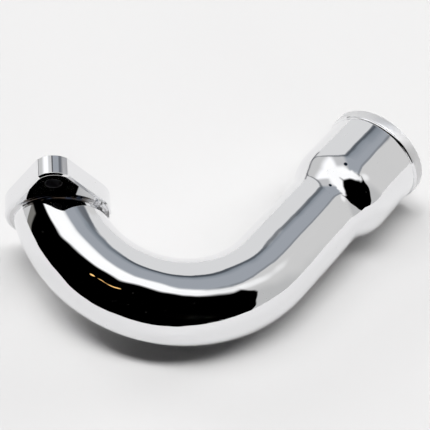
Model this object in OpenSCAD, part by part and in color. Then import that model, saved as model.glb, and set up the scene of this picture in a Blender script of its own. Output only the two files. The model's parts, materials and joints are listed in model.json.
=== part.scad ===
// Turbo hard pipe: a bent tube with a two-bolt mounting flange at one end
// and a turned hose collar at the other, lying on a flat surface.

/* [Tube] */
// Outside diameter of the tube
tube_od = 50.8; // [40:0.1:64]
// Wall thickness of the tube
tube_wall = 2; // [1:0.1:4]
// Radius of the bend, at the tube's centre line
bend_r = 74; // [60:0.5:110]
// Angle through which the tube is bent
bend_angle = 120; // [100:1:125]
// Straight length from the bend to the foot of the collar
leg_l = 57.5; // [35:0.5:90]

/* [Mounting flange] */
// Thickness of the flange plate
flange_t = 12; // [6:0.5:20]
// Distance between the two bolt holes
bolt_spacing = 80; // [76:0.5:110]
// Diameter of the bolt holes
bolt_hole_d = 9; // [5:0.5:11]
// Metal left around each bolt hole
lug_wall = 6; // [3:0.5:9]
// Width of plate left between the weld and the edge
flange_rim = 1.6; // [1.2:0.1:5]
// Chamfer around the pipe side of the plate
flange_chamfer = 1; // [0.3:0.1:1.2]
// Angle by which the tube's cut end is off square
flange_tilt = 15; // [5:0.5:20]
// Turn of the lugs about the port, away from the bend's plane
flange_clock = 8.5; // [-20:0.5:20]

/* [Flange weld] */
// Leg length of the fillet weld between tube and flange
weld_leg = 3; // [2:0.1:5]

/* [Hose collar] */
// Length of the collar from its foot to its mouth
collar_l = 57; // [45:0.5:90]
// Height of the collar above the tube
collar_rise = 6.35; // [4.5:0.05:10]
// Wall thickness of the collar
collar_wall = 2.5; // [1.5:0.1:4]
// Height of the collar's thin edge above the tube
foot_step = 0.2; // [0.1:0.05:0.5]
// Radius of the domed shoulder
shoulder_r = 30; // [15:0.5:40]
// Depth of the socket that takes the end of the tube
socket_l = 10; // [6:0.5:14]
// Length of the cone inside, from the tube to the wide bore
cone_l = 12; // [6:0.5:18]
// Chamfer inside the mouth
mouth_chamfer = 1; // [0.3:0.1:1.5]

/* [Hose bead] */
// Width of the bead around the mouth
bead_w = 9; // [7:0.5:14]
// Height of the bead above the collar
bead_rise = 1.4; // [0.6:0.1:2.4]
// Radius of the bead's crown
bead_crown_r = 12; // [11:0.5:20]
// Chamfer at the bead's outer edge
bead_edge = 0.8; // [0.4:0.1:1.2]

/* [Hidden] */
$fn = 96;
// Steps around the small weld, whose volume is sensitive to them
weld_steps = 180;
// Overshoot of cutting shapes
e = 0.5;
// Outlines that blend into each other cross by this much, because a cut that only touches
// leaves slivers: the dome's arc with the collar, and the flange's straight edges with its arcs
blend = 0.01;
web_inset = 0.06;
// Steps along the bend when the extents of the part are worked out
extent_steps = 120;
// Steps along the bead's crown for the same
crown_steps = 24;

tube_r = tube_od / 2;
tube_id = tube_od - 2 * tube_wall;

// The tube's slanted end is an ellipse, and the weld ring takes its mean radius
weld_r = tube_r * (1 + 1 / cos(flange_tilt)) / 2;
flange_r = weld_r + weld_leg + flange_rim;
lug_x = bolt_spacing / 2;
lug_r = bolt_hole_d / 2 + lug_wall;
// Direction from a lug's centre to where its straight edge starts
lug_angle = acos((flange_r - lug_r) / lug_x);
edge_l = lug_x * sin(lug_angle);

// Centre line in the bend's plane: the port looks along -Y and the bend turns to +X
bend_c = [bend_r * cos(flange_tilt), bend_r * sin(flange_tilt) - flange_t, 0];
end_angle = flange_tilt + bend_angle;
leg_dir = along(end_angle);
leg_start = on_bend(end_angle);
collar_foot = leg_start + leg_l * leg_dir;

collar_r = tube_r + collar_rise;
collar_bore_r = collar_r - collar_wall;
// Centre of the dome's arc, which meets the collar smoothly and the tube at an angle
shoulder_x = collar_r + blend - shoulder_r;
shoulder_l = sqrt(pow(shoulder_r, 2) - pow(tube_r + foot_step - shoulder_x, 2));
bead_start = collar_l - bead_w;
bead_top_r = collar_r + bead_rise;
crown_c = [
    bead_top_r - bead_crown_r,
    bead_start + sqrt(pow(bead_crown_r, 2) - pow(bead_crown_r - bead_rise, 2))
];
crown_angle = asin((collar_l - bead_edge - crown_c[1]) / bead_crown_r);
crown_end_r = crown_c[0] + bead_crown_r * cos(crown_angle);

chrome = [0.84, 0.85, 0.87];
polished_weld = [0.76, 0.77, 0.79];

// Point and direction on the centre line at an angle of the bend
function on_bend(angle) = bend_c - bend_r * [cos(angle), sin(angle), 0];
function along(angle) = [sin(angle), -cos(angle), 0];

// How the pipe comes to rest: on its lower lug, the bend and the collar's shoulder.
// The plane through the three lowest points gives the way up, which gives the points.
function unit(v) = v / norm(v);
function rim_point(centre, axis, radius, way) =
    centre + radius * unit(way - (way * axis) * axis);
function lug_centre(side, y) = side * lug_x * [-sin(flange_clock), 0, cos(flange_clock)] + [0, y, 0];
function lug_touch(up) =
    rim_point(lug_centre(-1, flange_chamfer - flange_t), [0, 1, 0], lug_r, -up);
function bend_touch(up) = bend_c - bend_r * unit([up[0], up[1], 0]) - tube_r * up;
function shoulder_touch(up) =
    rim_point(collar_foot + shoulder_l * leg_dir, leg_dir, collar_r - shoulder_r, -up)
    - shoulder_r * up;
function plane_up(a, b, c) =
    let(n = cross(b - a, c - a))
    unit(n[2] < 0 ? -n : n);
function settle(up, turns) =
    turns == 0 ? up
    : settle(plane_up(lug_touch(up), bend_touch(up), shoulder_touch(up)), turns - 1);
first_up = unit([-0.1, 0.2, 1]);
settle_turns = 8;
way_up = settle(first_up, settle_turns);
lean_x = atan2(way_up[1], way_up[2]);
lean_y = -asin(way_up[0]);

// Furthest reach of the pipe along a direction
function reach(way) = max(concat(
    [for (side = [-1, 1], ring = [[0, 0], [1, 0], [1, 1]])
        rim_point(lug_centre(side, -ring[0] * (flange_t - flange_chamfer) - ring[1] * flange_chamfer),
            [0, 1, 0], lug_r - ring[1] * flange_chamfer, way) * way],
    [for (y = [0, flange_chamfer - flange_t])
        rim_point([0, y, 0], [0, 1, 0], flange_r, way) * way],
    [for (i = [0 : extent_steps])
        let(angle = flange_tilt + bend_angle * i / extent_steps)
        rim_point(on_bend(angle), along(angle), tube_r, way) * way],
    [rim_point(collar_foot + shoulder_l * leg_dir, leg_dir, collar_r, way) * way],
    [for (i = [0 : crown_steps])
        let(angle = crown_angle * i / crown_steps)
        rim_point(collar_foot + (crown_c[1] + bead_crown_r * sin(angle)) * leg_dir, leg_dir,
            crown_c[0] + bead_crown_r * cos(angle), way) * way],
    [rim_point(collar_foot + collar_l * leg_dir, leg_dir, crown_end_r - bead_edge, way) * way]
));

// The part's own directions, seen from the pipe before it is laid down
function laid_x() = [cos(lean_y), sin(lean_y) * sin(lean_x), sin(lean_y) * cos(lean_x)];
function laid_y() = [0, cos(lean_x), -sin(lean_x)];
mid_x = (reach(laid_x()) - reach(-laid_x())) / 2;
mid_y = (reach(laid_y()) - reach(-laid_y())) / 2;
low_z = -reach(-way_up);

module lay_down() {
    translate([-mid_x, -mid_y, -low_z])
        rotate([lean_x, lean_y, 0])
            children();
}

// Turns a shape that stands on +Z so that it runs along the leg, from the collar's foot
module at_collar_foot() {
    translate(collar_foot)
        rotate([0, 90, 90 - (180 - end_angle)])
            children();
}

// Laid out from the bend's far end, where the straight leg runs along -Y
module in_bend() {
    translate(bend_c)
        rotate([0, 0, 180 + end_angle])
            mirror([0, 1, 0])
                children();
}

module bent_rod(d, past = 0) {
    in_bend() {
        rotate_extrude(angle = end_angle)
            translate([bend_r, 0])
                circle(d = d);
        translate([bend_r, 0, 0])
            rotate([90, 0, 0])
                cylinder(d = d, h = leg_l + socket_l + past);
    }
}

// Everything around the port on the gasket side of the plate's pipe face
module behind_flange() {
    translate([-tube_od, -flange_t, -tube_od])
        cube(2 * tube_od);
}

// Round plate with its upper edge chamfered
module round_plate(r) {
    rotate_extrude()
        polygon([
            [0, 0],
            [r, 0],
            [r, flange_t - flange_chamfer],
            [r - flange_chamfer, flange_t],
            [0, flange_t]
        ]);
}

// Bar whose slope takes the chamfer off one straight edge of the web
module chamfer_bar() {
    edge = flange_r - web_inset;
    rotate([0, 0, lug_angle])
        translate([0, tube_od, 0])
            rotate([90, 0, 0])
                linear_extrude(2 * tube_od + edge_l)
                    polygon([
                        [edge + e, flange_t - flange_chamfer - e],
                        [edge - flange_chamfer - e, flange_t + e],
                        [edge + e, flange_t + e]
                    ]);
}

// Plate between the straight edges, which run from the round middle to the lugs
module flange_web() {
    tangent = [cos(lug_angle), sin(lug_angle)];
    inner = (flange_r - web_inset) * tangent;
    outer = (lug_r - web_inset) * tangent + [lug_x, 0];
    difference() {
        linear_extrude(flange_t)
            polygon([
                inner,
                outer,
                [outer[0], -outer[1]],
                [inner[0], -inner[1]],
                -inner,
                -outer,
                [-outer[0], outer[1]],
                [-inner[0], inner[1]]
            ]);
        for (turn = [0, 180])
            rotate([0, 0, turn]) {
                chamfer_bar();
                mirror([0, 1, 0])
                    chamfer_bar();
            }
    }
}

module flange_plate() {
    round_plate(flange_r);
    for (side = [-1, 1])
        translate([side * lug_x, 0, 0])
            round_plate(lug_r);
    flange_web();
}

module mounting_flange() {
    color(chrome)
        lay_down()
            rotate([0, -90 - flange_clock, 0])
                rotate([90, 0, 0])
                    difference() {
                        flange_plate();
                        translate([0, 0, -e])
                            cylinder(d = tube_id, h = flange_t + 2 * e);
                        for (side = [-1, 1])
                            translate([side * lug_x, 0, -e])
                                cylinder(d = bolt_hole_d, h = flange_t + 2 * e);
                    }
}

module weld_profile() {
    difference() {
        translate([tube_r - tube_wall / 2, 0])
            square([weld_r + weld_leg - tube_r + tube_wall / 2, weld_leg]);
        translate([weld_r + weld_leg, weld_leg])
            circle(weld_leg);
    }
}

module flange_weld() {
    color(polished_weld)
        lay_down()
            difference() {
                translate([0, -flange_t, 0])
                    rotate([90, 0, 0])
                        rotate_extrude($fn = weld_steps)
                            weld_profile();
                bent_rod(tube_od, $fn = weld_steps);
            }
}

module bent_tube() {
    color(chrome)
        lay_down()
            difference() {
                bent_rod(tube_od);
                bent_rod(tube_id, e);
                behind_flange();
            }
}

module collar_outside() {
    difference() {
        union() {
            intersection() {
                square([collar_r, collar_l]);
                union() {
                    translate([shoulder_x, shoulder_l])
                        circle(shoulder_r);
                    translate([0, shoulder_l])
                        square([collar_r + e, collar_l]);
                }
            }
            intersection() {
                square([bead_top_r + e, collar_l]);
                translate(crown_c)
                    circle(bead_crown_r);
            }
        }
        polygon([
            [crown_end_r + e, collar_l - bead_edge - e],
            [crown_end_r + e, collar_l + e],
            [crown_end_r - bead_edge - e, collar_l + e]
        ]);
    }
}

module collar_inside() {
    cone_end = socket_l + cone_l;
    polygon([
        [0, -e],
        [tube_r, -e],
        [tube_r, socket_l],
        [tube_id / 2, socket_l],
        [collar_bore_r, cone_end],
        [collar_bore_r, collar_l - mouth_chamfer],
        [collar_bore_r + mouth_chamfer + e, collar_l + e],
        [0, collar_l + e]
    ]);
}

module hose_collar() {
    color(chrome)
        lay_down()
            at_collar_foot()
                rotate_extrude()
                    difference() {
                        collar_outside();
                        collar_inside();
                    }
}

mounting_flange();
flange_weld();
bent_tube();
hose_collar();
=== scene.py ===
# Turbo hard pipe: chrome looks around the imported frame. Lengths are in millimetres until lay(), which
# lays each mesh down as the frame lies and turns it to metres.
import json
import math
import bmesh
import bpy
import numpy as np
from mathutils import Matrix, Vector


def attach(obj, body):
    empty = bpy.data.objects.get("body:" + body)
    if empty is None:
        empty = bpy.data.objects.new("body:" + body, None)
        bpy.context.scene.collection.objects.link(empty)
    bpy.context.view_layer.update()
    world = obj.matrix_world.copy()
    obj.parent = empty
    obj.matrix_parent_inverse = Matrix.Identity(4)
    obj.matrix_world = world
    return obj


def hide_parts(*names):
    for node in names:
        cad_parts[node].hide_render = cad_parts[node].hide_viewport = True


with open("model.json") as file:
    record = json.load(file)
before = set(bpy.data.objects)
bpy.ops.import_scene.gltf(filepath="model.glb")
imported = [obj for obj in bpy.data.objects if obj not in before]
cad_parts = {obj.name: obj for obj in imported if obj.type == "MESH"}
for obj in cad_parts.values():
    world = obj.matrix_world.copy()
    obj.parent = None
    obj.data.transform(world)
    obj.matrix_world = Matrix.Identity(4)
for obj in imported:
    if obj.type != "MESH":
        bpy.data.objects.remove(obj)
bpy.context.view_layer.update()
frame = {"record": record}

# Sizes, as in the frame
TUBE_R = 25.4
TUBE_WALL = 2.0
TUBE_BORE_R = TUBE_R - TUBE_WALL
BEND_R = 74.0
LEG_L = 57.5
TILT = math.radians(15.0)
BEND_END = TILT + math.radians(120.0)
FLANGE_T = 12.0
LUG_X = 40.0
BOLT_R = 4.5
LUG_WALL = 6.0
LUG_R = BOLT_R + LUG_WALL
CHAMFER = 1.0
CLOCK = math.radians(8.5)
WELD_R = TUBE_R * (1 + 1 / math.cos(TILT)) / 2     # mean radius of the tube's slanted end
WELD_LEG = 3.0
FLANGE_RIM = 1.6
FLANGE_R = WELD_R + WELD_LEG + FLANGE_RIM
COLLAR_L = 57.0
COLLAR_RISE = 6.35
COLLAR_WALL = 2.5
COLLAR_R = TUBE_R + COLLAR_RISE
BORE_R = COLLAR_R - COLLAR_WALL
DOME_R = 30.0
FOOT_STEP = 0.2        # height of the collar's thin edge above the tube
BLEND = 0.01           # how far the dome's arc crosses the plain length
SHOULDER_L = math.sqrt(DOME_R ** 2 - (TUBE_R + FOOT_STEP - (COLLAR_R + BLEND - DOME_R)) ** 2)
SOCKET_L = 10.0
CONE_L = 12.0
BEAD_W = 9.0
BEAD_START = COLLAR_L - BEAD_W
MOUTH_CHAMFER = 1.0

# How the pipe is laid down: turned about X, then Y, then moved. Its own origin lies midway between the bolt
# holes and its +Y looks out of the port, so this mount gives all three
bolts = next(m for m in frame["record"]["mounts"] if m["name"] == "flange_bolts")
SHIFT = 1000 * np.array(bolts["pos_m"])
port_x, port_y, port_z = bolts["axis"]
LEAN_X = math.atan2(math.hypot(port_x, port_z), port_y)
LEAN_Y = math.atan2(port_x, port_z)
cx, sx, cy, sy = math.cos(LEAN_X), math.sin(LEAN_X), math.cos(LEAN_Y), math.sin(LEAN_Y)
TURN = np.array([[cy, 0, sy], [0, 1, 0], [-sy, 0, cy]]) @ np.array([[1, 0, 0], [0, cx, -sx], [0, sx, cx]])

# The flange's gasket face is at y = 0, and the tube leaves its other face towards -y
BEND_C = np.array([BEND_R * math.cos(TILT), BEND_R * math.sin(TILT) - FLANGE_T, 0.0])
LEG_DIR = np.array([math.sin(BEND_END), -math.cos(BEND_END), 0.0])
LEG_START = BEND_C - BEND_R * np.array([math.cos(BEND_END), math.sin(BEND_END), 0.0])
LEG_SIDE = (LEG_START - BEND_C) / np.linalg.norm(LEG_START - BEND_C)
FOOT = LEG_START + LEG_L * LEG_DIR
UP = np.array([0, 0, 1.0])


def lay(points):
    return (np.asarray(points, float) @ TURN.T + SHIFT) / 1000.0


def stand(point):
    """Undoes lay() for one point."""
    return TURN.T @ (np.array(point) * 1000 - SHIFT)


def new_object(name, verts, faces, mat, sharp, run=None):
    """run gives each vertex its place along and around the piece in mm, for the polishing lines."""
    me = bpy.data.meshes.new(name)
    me.from_pydata([tuple(v) for v in lay(verts)], [], [tuple(int(i) for i in f) for f in faces])
    me.update()
    layer = me.uv_layers.new(name="run")
    if run is None:
        run = np.asarray(verts, float)[:, (0, 2)]
    run = np.asarray(run, float) / 1000.0
    index = np.empty(len(me.loops), dtype=np.int32)
    me.loops.foreach_get("vertex_index", index)
    layer.data.foreach_set("uv", run[index].astype(np.float32).ravel())
    ob = bpy.data.objects.new(name, me)
    bpy.context.scene.collection.objects.link(ob)
    me.materials.append(mat)
    for p in me.polygons:
        p.use_smooth = True
    bm = bmesh.new()
    bm.from_mesh(me)
    bmesh.ops.remove_doubles(bm, verts=bm.verts, dist=1e-7)
    bmesh.ops.recalc_face_normals(bm, faces=bm.faces)
    bm.to_mesh(me)
    bm.free()
    me.set_sharp_from_angle(angle=math.radians(sharp))
    return ob


def grid_faces(rows, cols, flip=False):
    """Quads between rows of vertices that each close on themselves."""
    out = []
    for i in range(rows - 1):
        for j in range(cols):
            k = (j + 1) % cols
            q = (i * cols + j, i * cols + k, (i + 1) * cols + k, (i + 1) * cols + j)
            out.append(q[::-1] if flip else q)
    return out


# Materials
class Graph:
    """Short names for building a node tree."""

    def __init__(self, tree):
        self.tree = tree
        tree.nodes.clear()

    def node(self, kind, **props):
        n = self.tree.nodes.new(kind)
        for k, v in props.items():
            setattr(n, k, v)
        return n

    def put(self, socket, value):
        if isinstance(value, bpy.types.NodeSocket):
            self.tree.links.new(value, socket)
        elif isinstance(value, tuple) and len(value) == 3 and socket.type == "RGBA":
            socket.default_value = value + (1.0,)
        else:
            socket.default_value = value

    def math(self, op, *args):
        n = self.node("ShaderNodeMath", operation=op)
        for i, v in enumerate(args):
            self.put(n.inputs[i], v)
        return n.outputs[0]

    def product(self, value, *others):
        for other in others:
            value = self.math("MULTIPLY", value, other)
        return value

    def ramp(self, value, lo, hi, out_lo=0.0, out_hi=1.0):
        """out_lo at lo, out_hi at hi, smooth between."""
        n = self.node("ShaderNodeMapRange", interpolation_type="SMOOTHSTEP")
        flip = lo > hi
        self.put(n.inputs["From Min"], float(min(lo, hi)))
        self.put(n.inputs["From Max"], float(max(lo, hi)))
        self.put(n.inputs["To Min"], float(out_hi if flip else out_lo))
        self.put(n.inputs["To Max"], float(out_lo if flip else out_hi))
        self.put(n.inputs["Value"], value)
        return n.outputs["Result"]

    def mix(self, factor, under, over):
        n = self.node("ShaderNodeMix", data_type="RGBA")
        # The sockets for colours: the factor, A, B and the result
        self.put(n.inputs[0], factor)
        self.put(n.inputs[6], under)
        self.put(n.inputs[7], over)
        return n.outputs[2]

    def noise(self, vector, scale, detail=2.0, rough=0.5):
        n = self.node("ShaderNodeTexNoise")
        self.put(n.inputs["Vector"], vector)
        self.put(n.inputs["Scale"], float(scale))
        self.put(n.inputs["Detail"], float(detail))
        self.put(n.inputs["Roughness"], float(rough))
        return n.outputs["Fac"]

    def scaled(self, vector, factors):
        n = self.node("ShaderNodeVectorMath", operation="MULTIPLY")
        self.put(n.inputs[0], vector)
        n.inputs[1].default_value = factors
        return n.outputs[0]

    def bump(self, height, distance, normal=None):
        n = self.node("ShaderNodeBump")
        self.put(n.inputs["Strength"], 1.0)
        self.put(n.inputs["Distance"], float(distance))
        self.put(n.inputs["Height"], height)
        if normal is not None:
            self.put(n.inputs["Normal"], normal)
        return n.outputs["Normal"]

    def mix_shaders(self, factor, first, second):
        n = self.node("ShaderNodeMixShader")
        self.put(n.inputs[0], factor)
        self.put(n.inputs[1], first.outputs[0])
        self.put(n.inputs[2], second.outputs[0])
        return n

    def surface(self, shader, kind="Material"):
        out = self.node("ShaderNodeOutput" + kind)
        self.put(out.inputs[0], shader.outputs[0])


# Noise scales are per metre, and depths are in metres. FROM and FULL are the noise levels between which
# a patch fades in
BROAD_SCALE, BROAD_DEPTH = 34.0, 0.00055                  # slow waves under the polish
MID_SCALE, MID_DEPTH = 62.0, 0.0002                       # shorter waves
LINE_SCALE, LINE_DEPTH = (60.0, 420.0, 1.0), 0.0000012    # polishing lines, along and around the piece
FINE_DETAIL, FINE_ROUGH = 3.0, 0.6                        # of the noise for lines and haze
HAZE_SCALE, HAZE_FROM, HAZE_FULL = 22.0, 0.45, 0.75       # faint haze: a little rougher and darker
HAZE_ROUGH, HAZE_TINT = 0.018, 0.985
DUST_SCALE, DUST_FROM, DUST_FULL = 1100.0, 0.86, 0.90     # faint specks of dust
DUST_COVER, DUST_COLOUR = 0.25, (0.75, 0.74, 0.73)
RIPPLE_SCALE, RIPPLE_BEND = 75.0, 2.5                     # the weld's ripples, around the tube
# The weld's top is painted near black between two heights, a painted dark reflection, with brown and blue
# temper colour patches in it
BLUE_SCALE, BLUE_FROM, BLUE_FULL = 260.0, 0.45, 0.6       # blue patches in the weld's heat tint
HEAT_AND_PAINTED_BROWN, HEAT_AND_PAINTED_BLUE = (0.055, 0.04, 0.03), (0.03, 0.04, 0.065)


def chrome_material(name, tint=(0.87, 0.875, 0.885), rough=0.012, wave=1.0, lines=1.0, ripple=0.0,
                    heat_and_painted_dark=None):
    """Polished plate: wavy under the polish, with fine hand-polishing lines, haze and dust.

    wave and lines scale those depths. ripple is the depth of added ripples, and heat_and_painted_dark the
    heights between which the top turns dark, a painted dark reflection with brown and blue temper colours,
    all in metres.
    """
    m = bpy.data.materials.new(name)
    m.use_nodes = True
    g = Graph(m.node_tree)
    co = g.node("ShaderNodeTexCoord").outputs["Object"]
    uv = g.node("ShaderNodeUVMap", uv_map="run").outputs["UV"]
    lines_height = g.noise(g.scaled(uv, LINE_SCALE), 1.0, FINE_DETAIL, FINE_ROUGH)
    haze = g.ramp(g.noise(co, HAZE_SCALE, FINE_DETAIL, FINE_ROUGH), HAZE_FROM, HAZE_FULL)
    dust = g.ramp(g.noise(co, DUST_SCALE, 0.0), DUST_FROM, DUST_FULL)
    normal = g.bump(g.noise(co, BROAD_SCALE, 1.0), BROAD_DEPTH * wave)
    normal = g.bump(g.noise(co, MID_SCALE, 1.0), MID_DEPTH * wave, normal)
    normal = g.bump(lines_height, LINE_DEPTH * lines, normal)
    if ripple:
        ripples = g.node("ShaderNodeTexWave", wave_type="BANDS", bands_direction="X")
        g.put(ripples.inputs["Vector"], uv)
        g.put(ripples.inputs["Scale"], RIPPLE_SCALE)
        g.put(ripples.inputs["Distortion"], RIPPLE_BEND)
        g.put(ripples.inputs["Detail"], 1.0)
        normal = g.bump(ripples.outputs["Fac"], ripple, normal)
    shader = g.node("ShaderNodeBsdfPrincipled")
    shader.inputs["Metallic"].default_value = 1.0
    colour = g.mix(haze, tint, tuple(HAZE_TINT * c for c in tint))
    # Painted dark reflection: between these heights the weld's top turns near black, in brown and blue
    # temper colour patches
    if heat_and_painted_dark:
        place = g.node("ShaderNodeSeparateXYZ")
        g.put(place.inputs[0], co)
        blue = g.ramp(g.noise(co, BLUE_SCALE, 1.0), BLUE_FROM, BLUE_FULL)
        burnt_and_painted_dark = g.mix(blue, HEAT_AND_PAINTED_BROWN, HEAT_AND_PAINTED_BLUE)
        colour = g.mix(g.ramp(place.outputs[2], heat_and_painted_dark[0], heat_and_painted_dark[1]), colour, burnt_and_painted_dark)
    g.put(shader.inputs["Base Color"], colour)
    g.put(shader.inputs["Roughness"], g.math("MULTIPLY_ADD", haze, HAZE_ROUGH, rough))
    g.put(shader.inputs["Normal"], normal)
    speck = g.node("ShaderNodeBsdfDiffuse")
    g.put(speck.inputs["Color"], DUST_COLOUR)
    g.surface(g.mix_shaders(g.math("MULTIPLY", dust, DUST_COVER), shader, speck))
    return m


chrome = chrome_material("chrome_plate")
collar_plate = chrome_material("collar_plate", wave=0.65)
flange_plate = chrome_material("flange_plate", rough=0.03, wave=0.4, lines=1.5)
band_plate = chrome_material("band_plate", tint=(0.64, 0.64, 0.645), rough=0.33, wave=0.5)
bore_plate = chrome_material("bore_plate", tint=(0.60, 0.595, 0.585), rough=0.36, lines=3.0)
# Painted shade: the bolt holes' walls are a dull finish tinted near black to stand in for the shade inside
# the holes
hole_shade_plate = chrome_material("hole_shade_plate", tint=(0.06, 0.06, 0.065), rough=0.3)
# The weld's top is painted dark between these heights: a painted dark reflection with temper colours
weld_chrome = chrome_material("weld_chrome", tint=(0.72, 0.72, 0.73), rough=0.05, ripple=0.00009,
                              heat_and_painted_dark=(0.064, 0.071))

# Tube
AROUND = 192
BEND_STEPS = 220
LEG_STEPS = 24
TUBE_SHARP = 40


def tube_grid(radius):
    """Rows of vertices from the flange's plane round the bend and along the leg into the socket."""
    verts, run = [], []
    for i in range(BEND_STEPS + 1):
        t = i / BEND_STEPS
        for j in range(AROUND):
            p = 2 * math.pi * j / AROUND
            rho, z = radius * math.cos(p), radius * math.sin(p)
            first = math.asin(BEND_R * math.sin(TILT) / (BEND_R + rho))
            a = first + (BEND_END - first) * t
            spoke = (BEND_R + rho) * np.array([math.cos(a), math.sin(a), 0])
            verts.append(BEND_C - spoke + np.array([0, 0, z]))
            run.append((BEND_R * a, TUBE_R * abs(p - math.pi)))
    for i in range(1, LEG_STEPS + 1):
        s = (LEG_L + SOCKET_L) * i / LEG_STEPS
        for j in range(AROUND):
            p = 2 * math.pi * j / AROUND
            ring = LEG_SIDE * radius * math.cos(p) + np.array([0, 0, radius * math.sin(p)])
            verts.append(LEG_START + LEG_DIR * s + ring)
            run.append((BEND_R * BEND_END + s, TUBE_R * abs(p - math.pi)))
    return verts, run


outer, outer_run = tube_grid(TUBE_R)
inner, inner_run = tube_grid(TUBE_BORE_R)
n_rows = BEND_STEPS + 1 + LEG_STEPS
count = n_rows * AROUND
wall = (n_rows - 1) * AROUND
faces = grid_faces(n_rows, AROUND)
faces += [tuple(i + count for i in f) for f in grid_faces(n_rows, AROUND, flip=True)]
for end_row in (0, n_rows - 1):
    for j in range(AROUND):
        a, b = end_row * AROUND + j, end_row * AROUND + (j + 1) % AROUND
        faces.append((a, b, b + count, a + count))
tube = new_object("tube_chrome", outer + inner, faces, chrome, TUBE_SHARP, run=outer_run + inner_run)
tube.data.materials.append(bore_plate)
for p in tube.data.polygons:
    if wall <= p.index < 2 * wall:
        p.material_index = 1
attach(tube, "root")
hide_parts("bent_tube")

# Collar
RUN_START = 300.0      # keeps a turned piece's lines apart from the tube's
TURNED_AROUND = 256
COVE_R = 22.0
COVE_STEPS = 12
DOME_STEPS = 40
PLAIN_STEPS = 10
FOOT_GAP = 0.004       # the cove's foot stands this far off the tube
SOCKET_GAP = 0.02
# The raised band at the mouth and its outer edge: (radius, place along the collar)
BAND = [(31.752, 48.85), (31.82, 48.90), (32.02, 48.96), (32.22, 49.02), (32.36, 49.12), (32.48, 49.3),
        (32.60, 49.55), (32.71, 49.85), (32.79, 50.2), (32.84, 50.6), (32.88, 51.2), (32.91, 52.3),
        (32.92, 53.6), (32.91, 54.7), (32.88, 55.5), (32.84, 56.1)]
EDGE = [(32.79, 56.24), (32.66, 56.38), (32.42, 56.62), (32.20, 56.84), (32.08, 56.94), (31.95, 56.99)]
# The end face, its chamfer, the bore and the cone down to the tube's wall
MOUTH = [(31.7, COLLAR_L), (BORE_R + MOUTH_CHAMFER + 0.2, COLLAR_L),
         (BORE_R + MOUTH_CHAMFER, COLLAR_L - 0.02), (BORE_R + 0.05, COLLAR_L - MOUTH_CHAMFER),
         (BORE_R, COLLAR_L - MOUTH_CHAMFER - 0.3), (BORE_R, SOCKET_L + CONE_L + 0.5),
         (BORE_R - 0.05, SOCKET_L + CONE_L), (TUBE_BORE_R, SOCKET_L)]
# Where the band's and the bore's own finishes start and end
BAND_FROM, BAND_TO, BAND_OFF = 50.3, COLLAR_L - 0.5, COLLAR_R + 0.2
BORE_FROM, BORE_OFF = SOCKET_L - 0.01, BORE_R + 0.02
COLLAR_SHARP = 35


def lathe(profile, base, axis, side, up, around):
    """Turns a closed profile [(radius, place along the axis)] about the axis."""
    verts, run = [], []
    for r, s in profile:
        for j in range(around):
            t = 2 * math.pi * j / around
            verts.append(base + axis * s + r * (math.cos(t) * side + math.sin(t) * up))
            run.append((TUBE_R * abs(t - math.pi), s + RUN_START))
    n = len(profile)
    faces = grid_faces(n, around)
    for j in range(around):
        k = (j + 1) % around
        faces.append(((n - 1) * around + j, (n - 1) * around + k, k, j))
    return verts, faces, run


def collar_profile():
    """A cove that rises from the tube, the dome, the plain length, the band and the mouth."""
    # The cove touches the tube and the dome from outside
    dome_r, dome_s = COLLAR_R - DOME_R, SHOULDER_L
    cove_r = TUBE_R + COVE_R
    cove_s = dome_s - math.sqrt((DOME_R + COVE_R) ** 2 - (cove_r - dome_r) ** 2)
    touch = math.atan2(cove_r - dome_r, cove_s - dome_s)
    start, end = -math.pi / 2, touch - math.pi
    prof = []
    for i in range(COVE_STEPS + 1):
        a = start + (end - start) * i / COVE_STEPS
        prof.append((cove_r + COVE_R * math.sin(a), cove_s + COVE_R * math.cos(a)))
    for i in range(1, DOME_STEPS + 1):
        a = touch + (math.pi / 2 - touch) * i / DOME_STEPS
        prof.append((dome_r + DOME_R * math.sin(a), dome_s + DOME_R * math.cos(a)))
    foot_s = prof[0][1]
    prof[0] = (TUBE_R + FOOT_GAP, foot_s)
    prof += [(COLLAR_R, s) for s in np.linspace(SHOULDER_L, BEAD_START, PLAIN_STEPS)[1:]]
    return prof + BAND + EDGE + MOUTH + [(TUBE_R - SOCKET_GAP, SOCKET_L), (TUBE_R - SOCKET_GAP, foot_s)]


verts, faces, run = lathe(collar_profile(), FOOT, LEG_DIR, LEG_SIDE, UP, TURNED_AROUND)
collar = new_object("collar_chrome", verts, faces, collar_plate, COLLAR_SHARP, run=run)
collar.data.materials.append(band_plate)
collar.data.materials.append(bore_plate)
for p in collar.data.polygons:
    q = stand(p.center) - FOOT
    along = float(q @ LEG_DIR)
    off = float(np.linalg.norm(q - along * LEG_DIR))
    if BAND_FROM < along < BAND_TO and off > BAND_OFF:
        p.material_index = 1
    elif off < BORE_OFF and along > BORE_FROM:
        p.material_index = 2
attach(collar, "root")
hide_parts("hose_collar")

# Flange
FACE_EDGE = 0.35       # rounding of the gasket face's edge
FACE_STEPS = 4
LUG_STEPS = 40
FLANK_STEPS = 30
PORT_LIP, PORT_STEPS = 0.3, 128
BOLT_LIP, BOLT_STEPS = 0.35, 64
# The holes' near-black walls are painted shade
HOLE_REACH = 0.3       # the holes' dark finish reaches this far past their radius
HOLE_INSET = 0.02
PLATE_SHARP = 50
# Plate coordinates: u along the lugs, w across them
U = np.array([-math.sin(CLOCK), 0, math.cos(CLOCK)])
W = np.array([math.cos(CLOCK), 0, math.sin(CLOCK)])


def circle_points(centre, radius, start, end, steps):
    """Points on an arc about (centre, 0), both ends included."""
    angles = [start + (end - start) * k / steps for k in range(steps + 1)]
    return [(centre + radius * math.cos(t), radius * math.sin(t)) for t in angles]


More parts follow.
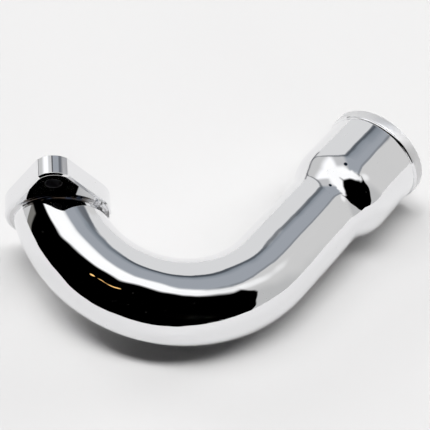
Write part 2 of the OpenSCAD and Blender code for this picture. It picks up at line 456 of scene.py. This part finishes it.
def flange_outline(inset):
    """Points of the outline moved inwards, counter-clockwise: lug, flank, lug, flank."""
    la = math.acos((FLANGE_R - LUG_R) / LUG_X)
    lug, flank = LUG_R - inset, FLANGE_R - inset
    return (circle_points(LUG_X, lug, -la, la, LUG_STEPS)
            + circle_points(0, flank, la, math.pi - la, FLANK_STEPS)
            + circle_points(-LUG_X, lug, math.pi - la, math.pi + la, LUG_STEPS)
            + circle_points(0, flank, math.pi + la, 2 * math.pi - la, FLANK_STEPS))


def plate_mesh():
    """The plate from its gasket face, at depth 0, to its chamfered back, with its port and bolt holes."""
    bm = bmesh.new()

    def ring(points, depth):
        return [bm.verts.new(u * U + w * W + np.array([0, -depth, 0])) for u, w in points]

    def skin(r1, r2):
        for j in range(len(r1)):
            k = (j + 1) % len(r1)
            bm.faces.new((r1[j], r1[k], r2[k], r2[j]))

    def stack(rings):
        """Joins the rings, and keeps the first and last as edges of the two flat faces."""
        for a, b in zip(rings, rings[1:]):
            skin(a, b)
        face_loops.append(rings[0])
        back_loops.append(rings[-1])

    def hole(centre, radius, steps, lip):
        soft = lip * 0.3
        levels = [(radius + lip, 0), (radius + soft, soft), (radius, lip), (radius, FLANGE_T - lip),
                  (radius + soft, FLANGE_T - soft), (radius + lip, FLANGE_T)]
        stack([ring(circle_points(centre, r, 0, 2 * math.pi, steps)[:-1], d) for r, d in levels])

    face_loops, back_loops = [], []
    turns = [math.pi / 2 * k / FACE_STEPS for k in range(FACE_STEPS + 1)]
    levels = [(FACE_EDGE * (1 - math.sin(t)), FACE_EDGE * (1 - math.cos(t))) for t in turns]
    levels += [(0, FLANGE_T - CHAMFER - 0.25), (0.03, FLANGE_T - CHAMFER - 0.02),
               (0.12, FLANGE_T - CHAMFER + 0.12), (CHAMFER - 0.12, FLANGE_T - 0.12),
               (CHAMFER + 0.03, FLANGE_T - 0.02), (CHAMFER + 0.25, FLANGE_T)]
    stack([ring(flange_outline(inset), depth) for inset, depth in levels])
    hole(0, TUBE_BORE_R, PORT_STEPS, PORT_LIP)
    hole(LUG_X, BOLT_R, BOLT_STEPS, BOLT_LIP)
    hole(-LUG_X, BOLT_R, BOLT_STEPS, BOLT_LIP)
    bm.edges.ensure_lookup_table()
    for loops in (face_loops, back_loops):
        edges = [bm.edges.get((lp[j], lp[(j + 1) % len(lp)])) for lp in loops for j in range(len(lp))]
        bmesh.ops.triangle_fill(bm, edges=edges, use_beauty=True, use_dissolve=False)
    bmesh.ops.recalc_face_normals(bm, faces=bm.faces)
    bm.verts.index_update()
    verts = [tuple(v.co) for v in bm.verts]
    faces = [tuple(v.index for v in f.verts) for f in bm.faces]
    bm.free()
    return verts, faces


verts, faces = plate_mesh()
plate = new_object("flange_chrome", verts, faces, flange_plate, PLATE_SHARP)
# The bolt holes' walls get the near-black painted shade
plate.data.materials.append(hole_shade_plate)
for p in plate.data.polygons:
    q = stand(p.center)
    from_hole = math.hypot(abs(float(q @ U)) - LUG_X, float(q @ W))
    if from_hole < BOLT_R + HOLE_REACH and HOLE_INSET < -q[1] < FLANGE_T - HOLE_INSET:
        p.material_index = 1
flat_faces = plate.modifiers.new("flat_faces", "WEIGHTED_NORMAL")
flat_faces.keep_sharp = True
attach(plate, "root")
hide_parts("mounting_flange")

# Weld
WELD_W = 2.6
WELD_AROUND = 192
WELD_SHARP = 50
WELD_ROOT_R = TUBE_R - TUBE_WALL / 2
# Its hollow face: (distance from the tube, distance from the flange)
WELD_FACE = [(2.55, 0.02), (2.1, 0.08), (1.6, 0.16), (1.15, 0.26), (0.8, 0.38), (0.58, 0.52), (0.42, 0.72),
             (0.3, 1.0), (0.2, 1.4), (0.12, 1.85), (0.05, 2.3), (0.01, 2.6)]
weld_profile = [(WELD_ROOT_R, 0.0), (TUBE_R + WELD_W, 0.0)]
weld_profile += [(TUBE_R + r, s) for r, s in WELD_FACE] + [(WELD_ROOT_R, WELD_W)]
verts, faces, run = lathe(weld_profile, np.array([0, -FLANGE_T, 0.0]), np.array([0, -1.0, 0]),
                          np.array([1.0, 0, 0]), UP, WELD_AROUND)
weld = new_object("weld_ring", verts, faces, weld_chrome, WELD_SHARP, run=run)
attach(weld, "root")
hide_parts("flange_weld")


# Floor and light cards
def card(name, points, quads, z):
    """A flat sheet of the stage at height z, with an empty material."""
    me = bpy.data.meshes.new(name)
    me.from_pydata([(x / 1000, y / 1000, z / 1000) for x, y in points], [], quads)
    ob = bpy.data.objects.new(name, me)
    bpy.context.scene.collection.objects.link(ob)
    m = bpy.data.materials.new(name)
    m.use_nodes = True
    me.materials.append(m)
    return ob, Graph(m.node_tree)


def reflections_only(ob):
    ob.visible_camera = False
    ob.visible_diffuse = False
    ob.visible_shadow = False
    ob.visible_transmission = False


def first_bounce(g):
    """0 for light that hasn't met the paper yet, and 1 after it."""
    return g.math("MINIMUM", g.node("ShaderNodeLightPath").outputs["Diffuse Depth"], 1.0)


FAR = 6000.0
# A mid grey under strong lamps: pale to the eye, and it throws little light back into the shadow
PAPER = (0.34, 0.3375, 0.338)
floor, g = card("floor", [(-FAR, -FAR), (FAR, -FAR), (FAR, FAR), (-FAR, FAR)], [(0, 1, 2, 3)], 0.0)
paper = g.node("ShaderNodeBsdfDiffuse")
g.put(paper.inputs["Color"], PAPER)
g.surface(paper)

# The floor's pale sheet ends towards the camera: beyond it the chrome sees a dark room
SHEET_END_H = 0.5
SHEET_END = [(-FAR, -120), (-900, -115), (-620, -150), (-400, -165), (-230, -150), (-195, -175),
             (-175, -210), (-120, -220), (-70, -230), (-35, -260), (-10, -320), (45, -390), (160, -600),
             (290, -720), (1000, -1900), (1900, -3300), (1900, -FAR), (-FAR, -FAR)]
dark_floor, g = card("dark_floor", SHEET_END, [tuple(range(len(SHEET_END)))], SHEET_END_H)
black = g.node("ShaderNodeEmission")
g.put(black.inputs["Color"], (0.0, 0.0, 0.0))
g.surface(black)
reflections_only(dark_floor)

# Soft box above the bend, a sheet whose glow fades towards its outline
BOX_H = 1200.0
BOX_GLOW = 1.12
BOX_OUTLINE = [(-960, 380), (-930, 240), (-880, 170), (-850, 10), (-780, -150), (-530, -260), (-390, -300),
               (-310, -380), (-230, -440), (-110, -420), (80, -390), (210, -420), (360, -480), (520, -490),
               (640, -540), (710, -440), (630, -230), (540, -270), (470, -210), (400, -150), (350, -130),
               (250, -20), (160, -20), (120, 10), (20, 150), (-80, 240), (-520, 330)]
BOX_LO, BOX_HI, BOX_STEP = (-1720, -880), (1000, 640), 20
BOX_SOFT = 64.0        # half the width of its fading edge
REAR_SOFT = 70.0       # added to it along the rear left
RIGHT_SOFT = 40.0      # and towards the right end
RIGHT_DIM = 0.12       # how much weaker the right end is


def signed_distance(points, outline):
    """Distance of each point to the outline, positive inside."""
    p = np.asarray(points, float)
    a = np.asarray(outline, float)
    b = np.roll(a, -1, axis=0)
    best = np.full(len(p), 1e9)
    inside = np.zeros(len(p), bool)
    for (ax, ay), (bx, by) in zip(a, b):
        ex, ey = bx - ax, by - ay
        t = np.clip(((p[:, 0] - ax) * ex + (p[:, 1] - ay) * ey) / (ex * ex + ey * ey), 0, 1)
        best = np.minimum(best, np.hypot(p[:, 0] - ax - t * ex, p[:, 1] - ay - t * ey))
        if ey != 0:
            inside ^= ((ay > p[:, 1]) != (by > p[:, 1])) & (p[:, 0] < ex * (p[:, 1] - ay) / ey + ax)
    return np.where(inside, best, -best)


def share(value, zero_at, one_at):
    """0 at zero_at and 1 at one_at, straight between, and never outside 0 to 1."""
    return np.clip((value - zero_at) / (one_at - zero_at), 0, 1)


def box_glow(points):
    """The soft box's strength at each point, from 0 outside to 1 inside."""
    x, y = np.array(points, float).T
    soft = BOX_SOFT + REAR_SOFT * share(x, 120, -80) * share(y, -120, 0) * share(x, -660, -500)
    soft = soft + RIGHT_SOFT * share(x, 360, 600)
    t = share(signed_distance(points, BOX_OUTLINE), -soft, soft)
    return t * t * (3 - 2 * t) * (1 - RIGHT_DIM * share(x, 240, 600))


nx, ny = ((hi - lo) // BOX_STEP + 1 for lo, hi in zip(BOX_LO, BOX_HI))
points = [(BOX_LO[0] + i * BOX_STEP, BOX_LO[1] + j * BOX_STEP) for j in range(ny) for i in range(nx)]
quads = [(j * nx + i, j * nx + i + 1, (j + 1) * nx + i + 1, (j + 1) * nx + i)
         for j in range(ny - 1) for i in range(nx - 1)]
soft_box, g = card("soft_box", points, quads, BOX_H)
strength = soft_box.data.attributes.new("glow", "FLOAT", "POINT")
strength.data.foreach_set("value", box_glow(points).astype(np.float32))
glow = g.node("ShaderNodeEmission")
g.put(glow.inputs["Color"], (1.0, 1.0, 1.0))
g.put(glow.inputs["Strength"], g.product(g.math("SUBTRACT", 1.0, first_bounce(g)), BOX_GLOW))
attribute = g.node("ShaderNodeAttribute", attribute_name="glow")
g.surface(g.mix_shaders(attribute.outputs["Fac"], g.node("ShaderNodeBsdfTransparent"), glow))
reflections_only(soft_box)

# World
# A light tent, dark towards the camera.
# Chrome sees a sharp sky with walls and edges, and the paper is lit by lamps of its own
world = bpy.data.worlds.new("studio")
bpy.context.scene.world = world
world.use_nodes = True
g = Graph(world.node_tree)
unit = g.node("ShaderNodeVectorMath", operation="NORMALIZE")
g.put(unit.inputs[0], g.node("ShaderNodeTexCoord").outputs["Generated"])
parts = g.node("ShaderNodeSeparateXYZ")
g.put(parts.inputs[0], unit.outputs[0])
X, Y, Z = parts.outputs
# Every direction gets a place on a flat map, in degrees from straight up: px to the right, and py away
# from the camera. The sky below is painted in such degrees, layer over layer
fall = g.math("MULTIPLY", g.math("ARCCOSINE", Z), 180 / math.pi)
flat = g.math("SQRT", g.math("ADD", g.math("MULTIPLY", X, X), g.math("MULTIPLY", Y, Y)))
flat = g.math("MAXIMUM", flat, 1e-4)
px = g.math("DIVIDE", g.math("MULTIPLY", X, fall), flat)
py = g.math("DIVIDE", g.math("MULTIPLY", Y, fall), flat)
MAP_END = 90.0         # the curves over px run from -90 to 90 degrees

WALL = (0.76, 0.76, 0.765)
SIDE = (0.679, 0.674, 0.669)
SIDE_LOW = (0.55, 0.55, 0.55)
SIDE_LINE = (0.235, 0.25, 0.27)
HALO = (1.0, 1.0, 1.0)
GREY = (0.37, 0.395, 0.435)
DUSK = (0.235, 0.265, 0.30)
NOOK = (0.165, 0.175, 0.195)
NOOK_END = (0.42, 0.42, 0.43)
ROOF = (0.60, 0.60, 0.61)
LEFT = (0.62, 0.62, 0.62)
HIGH = (1.15, 1.15, 1.17)
DOT = (0.005, 0.01, 0.02)
SKIRT = (0.3, 0.3, 0.31)
SEAM = (0.075, 0.085, 0.10)
DARK = (0.0, 0.0, 0.0)
CORNER = (0.2, 0.195, 0.18)
GOLD = (1.35, 0.82, 0.30)
FILL = 0.05            # share of the sharp sky that is left after a bounce off the paper
WOBBLE_SCALE, WOBBLE = 0.9, 4.0   # the walls' edges wander by up to half of WOBBLE degrees


def curve(points):
    """Straight steps over px through points [(px, value)], both from -90 to 90."""
    n = g.node("ShaderNodeFloatCurve")
    c = n.mapping.curves[0]
    for i, point in enumerate(points):
        q = tuple((v + MAP_END) / (2 * MAP_END) for v in point)
        if i < 2:
            c.points[i].location = q
        else:
            c.points.new(*q)
    for p in c.points:
        p.handle_type = "VECTOR"
    n.mapping.update()
    g.put(n.inputs["Value"], g.math("DIVIDE", g.math("SUBTRACT", px, -MAP_END), 2 * MAP_END))
    return g.math("MULTIPLY_ADD", n.outputs[0], 2 * MAP_END, -MAP_END)


def spot(cx, cy, rx, ry, inner=0.5):
    """1 around (cx, cy), fading to 0 a little past the radii. A lower inner makes it softer."""
    dx = g.math("DIVIDE", g.math("SUBTRACT", px, float(cx)), float(rx))
    dy = g.math("DIVIDE", g.math("SUBTRACT", py, float(cy)), float(ry))
    return g.ramp(g.math("ADD", g.math("MULTIPLY", dx, dx), g.math("MULTIPLY", dy, dy)), 1.4, inner)


# Pale back wall, and in front of it a grey gap up to the soft box
back_edge = curve([(-90, 80), (-50, 78), (-41, 77), (-36, 74), (-33, 66), (-27, 57), (-21, 51), (-15, 46),
                   (-8, 42.5), (4, 40.5), (9, 41), (12, 41), (20, 35.5), (26, 33.5), (34, 34.5), (38, 37.5),
                   (60, 42), (90, 50)])
spread = g.node("ShaderNodeCombineXYZ")
g.put(spread.inputs[0], px)
g.put(spread.inputs[1], py)
wobble = g.math("SUBTRACT", g.noise(spread.outputs[0], WOBBLE_SCALE, 2.0, 0.6), 0.5)
above = g.math("SUBTRACT", g.math("MULTIPLY_ADD", wobble, WOBBLE, back_edge), py)
roof = g.ramp(above, -3, 2)
col = g.mix(g.ramp(above, -3.5, 1.0), WALL, g.mix(g.ramp(above, 3.0, 14.0), DUSK, GREY))
# Pale right wall, with a darker line where it starts
turn = g.math("MULTIPLY_ADD", wobble, WOBBLE, g.math("SUBTRACT", px, g.math("MULTIPLY", py, 0.5)))
col = g.mix(g.ramp(turn, 25.5, 29.0), col, SIDE)
line = g.product(g.ramp(turn, 21.5, 24.5), g.ramp(turn, 28.5, 26.0), 0.75)
col = g.mix(g.product(line, g.ramp(above, -2, 6)), col, SIDE_LINE)
# It is darker towards the floor's end, brightest beside the soft box, and has a dim nook at the back
col = g.mix(g.product(g.ramp(py, -17, -38), g.ramp(turn, 26, 32)), col, SIDE_LOW)
halo = spot(35, -13, 13, 10, inner=-0.2)
col = g.mix(g.product(halo, halo), col, HALO)
nook = g.mix(g.ramp(px, 42, 57), NOOK, NOOK_END)
col = g.mix(g.product(g.ramp(px, 31, 37), g.ramp(py, 11, 15), roof), col, nook)
# Left of the gap: a grey roof, the left wall, a bright field high up, and one small dark dot
col = g.mix(g.product(g.ramp(px, 6, -3), roof), col, ROOF)
col = g.mix(g.product(g.ramp(px, -19, -25), roof), col, LEFT)
col = g.mix(g.product(g.ramp(px, -16, -26), g.ramp(fall, 66, 46), roof), col, HIGH)
col = g.mix(spot(-0.8, 15, 4.0, 4.5), col, DOT)
# A grey strip low on the left, just above the horizon
skirt = g.product(g.ramp(fall, 83.5, 86.5), g.ramp(fall, 91, 88.5), g.ramp(px, -22, -28),
                  g.ramp(py, 20, 35))
col = g.mix(skirt, col, SKIRT)
# Thin dark seam where the back wall starts, weaker at the left and at the right
seam = g.product(g.ramp(above, -3.5, -0.5), g.ramp(above, 6.0, 2.0), g.ramp(px, 60, 42),
                 g.ramp(px, -52, -42), g.ramp(px, -6, 20, 0.6, 1.0), g.ramp(px, 22, 30, 1.0, 0.3))
col = g.mix(seam, col, SEAM)
# Dark room on the camera's side, with a grey corner far left and two small warm lamps in it
front_edge = curve([(-90, 12), (-62, 12), (-34, 13), (-28, 5), (-25, -4), (20, -9), (27, -12), (31, -20),
                    (33, -22.5), (36, -25.5), (41, -29), (46, -34), (50, -42), (53, -50), (59, -59),
                    (61, -90), (90, -90)])
front = g.ramp(g.math("SUBTRACT", front_edge, py), -1.2, 1.6)
col = g.mix(front, col, DARK)
col = g.mix(g.product(g.ramp(px, -57, -62), g.ramp(py, 1.5, 4), front), col, CORNER)
col = g.mix(g.math("MAXIMUM", spot(-27, -34, 2.2, 1.5), spot(-19, -36, 4.6, 1.05)), col, GOLD)
sharp_sky = g.node("ShaderNodeBackground")
g.put(sharp_sky.inputs["Color"], col)
# What the pipe throws back onto the paper is kept low
g.put(sharp_sky.inputs["Strength"], g.math("MULTIPLY_ADD", first_bounce(g), FILL - 1.0, 1.0))

# The paper's lamps, which make the shadow: a bent row overhead, of the strength that the second curve
# gives along it, and three soft spots
LAMP_ROW = [(-90, 16), (-36, 15), (-26, 8), (-16, 1), (-8, -1), (0, -5), (16, -7), (32, -8), (48, -4),
            (90, 0)]
LAMP_CURVE = [(-90, 0), (-40, 0), (-33, 45), (-24, 30), (-19, 80), (-12, 85), (3, 82), (8, 42), (17, 42),
              (23, 14), (34, 14), (44, 3), (90, 0)]
LAMP_SCALE = 0.7
# (px, py, radius in px, radius in py), strength
LAMP_SPOTS = [((-42, 52, 20, 16), 8.7), ((62, 36, 8, 26), 17.0), ((22, -73, 10, 6), 8.0)]
off_row = g.math("ABSOLUTE", g.math("SUBTRACT", py, curve(LAMP_ROW)))
lamp = g.product(curve(LAMP_CURVE), LAMP_SCALE, g.ramp(off_row, 6.0, 3.0))
for place, power in LAMP_SPOTS:
    lamp = g.math("MULTIPLY_ADD", spot(*place), power, lamp)
lamp_colour = g.node("ShaderNodeCombineXYZ")
for k in range(3):
    g.put(lamp_colour.inputs[k], lamp)
lamp_sky = g.node("ShaderNodeBackground")
g.put(lamp_sky.inputs["Color"], lamp_colour.outputs[0])
seen_in_chrome = g.node("ShaderNodeLightPath").outputs["Is Glossy Ray"]
g.surface(g.mix_shaders(seen_in_chrome, lamp_sky, sharp_sky), "World")
world.cycles.sampling_method = "MANUAL"
world.cycles.sample_map_resolution = 1024

# Camera
# In degrees: the heading to the left of +Y, the tilt up from straight down, and the roll
CAMERA_AT = (-93.95, -418.62, 548.93)
CAMERA_HEADING, CAMERA_TILT, CAMERA_ROLL = -11.746, 40.33, 4.74
camera_data = bpy.data.cameras.new("camera")
camera = bpy.data.objects.new("camera", camera_data)
bpy.context.scene.collection.objects.link(camera)
camera_data.sensor_width = 36.0
camera_data.lens = 93.78
camera_data.clip_end = 50
camera_turn = (Matrix.Rotation(math.radians(CAMERA_HEADING), 4, "Z")
               @ Matrix.Rotation(math.radians(CAMERA_TILT), 4, "X")
               @ Matrix.Rotation(math.radians(CAMERA_ROLL), 4, "Z"))
camera.matrix_world = Matrix.Translation(Vector(CAMERA_AT) / 1000) @ camera_turn
bpy.context.scene.camera = camera
bpy.context.scene.view_settings.view_transform = "Standard"
bpy.context.scene.view_settings.look = "None"
